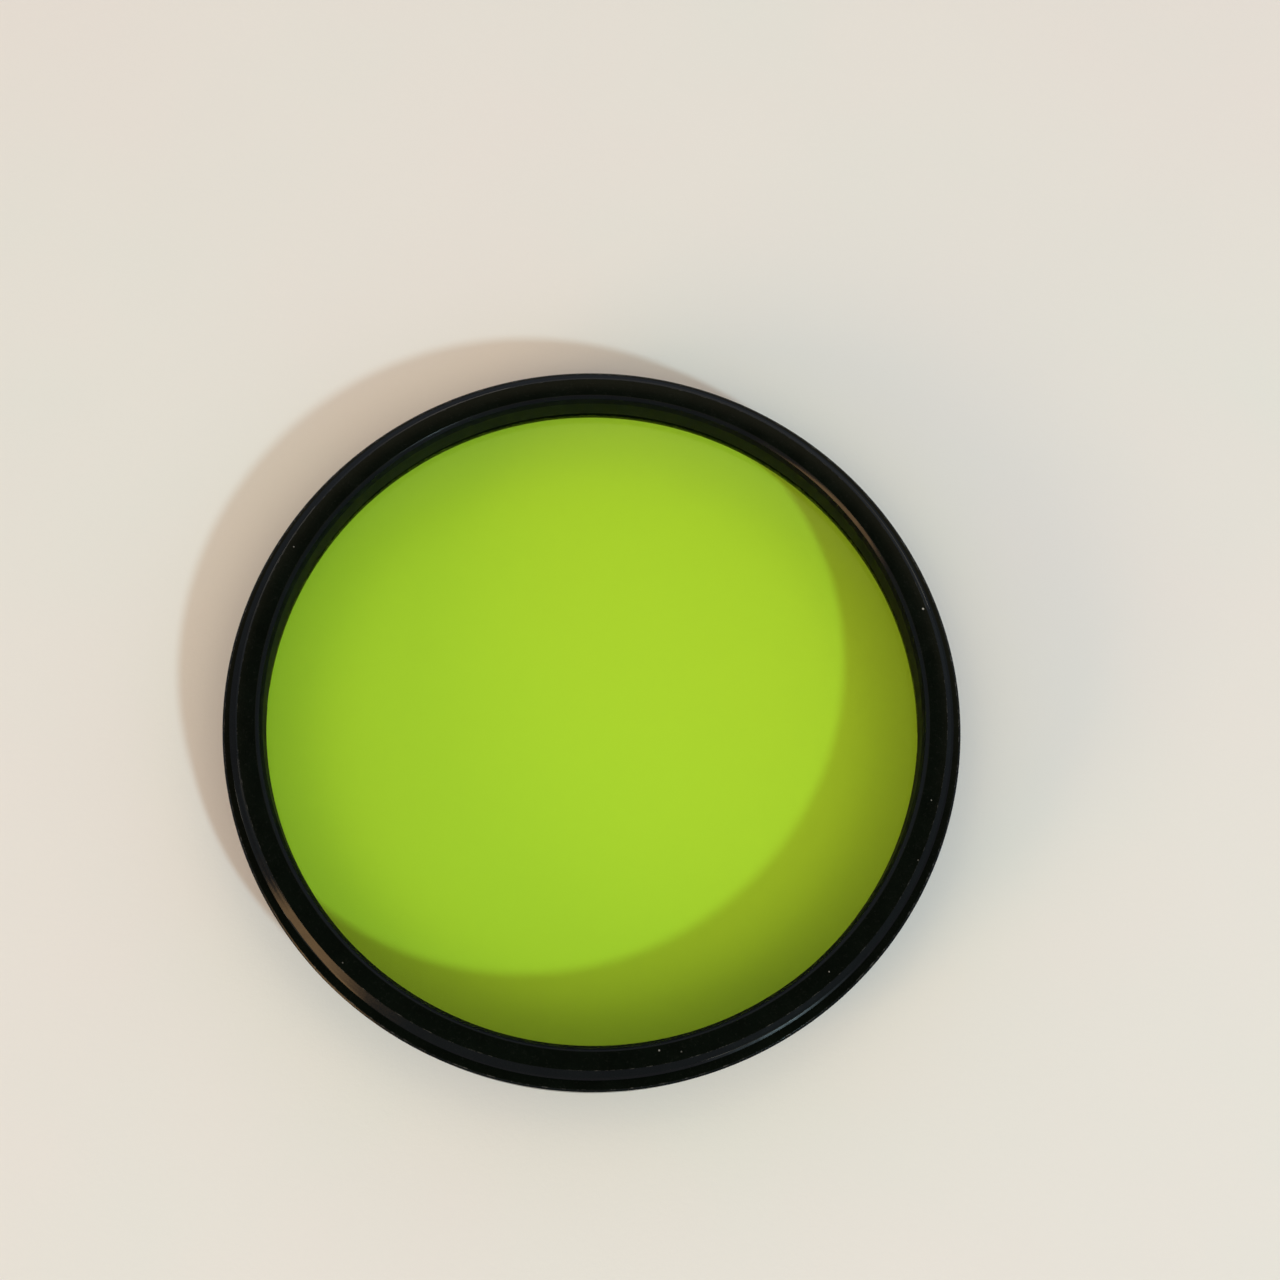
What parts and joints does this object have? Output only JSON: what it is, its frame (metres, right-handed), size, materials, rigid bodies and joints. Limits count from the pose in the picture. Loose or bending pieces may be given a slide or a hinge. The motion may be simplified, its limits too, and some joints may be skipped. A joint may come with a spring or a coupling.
{
  "type": "colour glass filter",
  "caption": "Screw-in camera filter: yellow-green glass disc in a thin black threaded ring, held by a retaining ring.",
  "frame": {"origin": "centre of the front rim's flat edge, on the surface that the filter lies on", "axes": "+Z along the optical axis, from the front rim to the rear thread"},
  "size_m": [0.0534, 0.0534, 0.007],
  "materials": {
    "black_ring": "black anodised, satin, finely turned",
    "colour_glass": "polished, coloured in the mass, yellow-green",
    "black_retainer": "black anodised, matte"
  },
  "bodies": {
    "root": {"filter_ring": "black_ring", "filter_glass": "colour_glass", "retaining_ring": "black_retainer"}
  },
  "joints": []
}
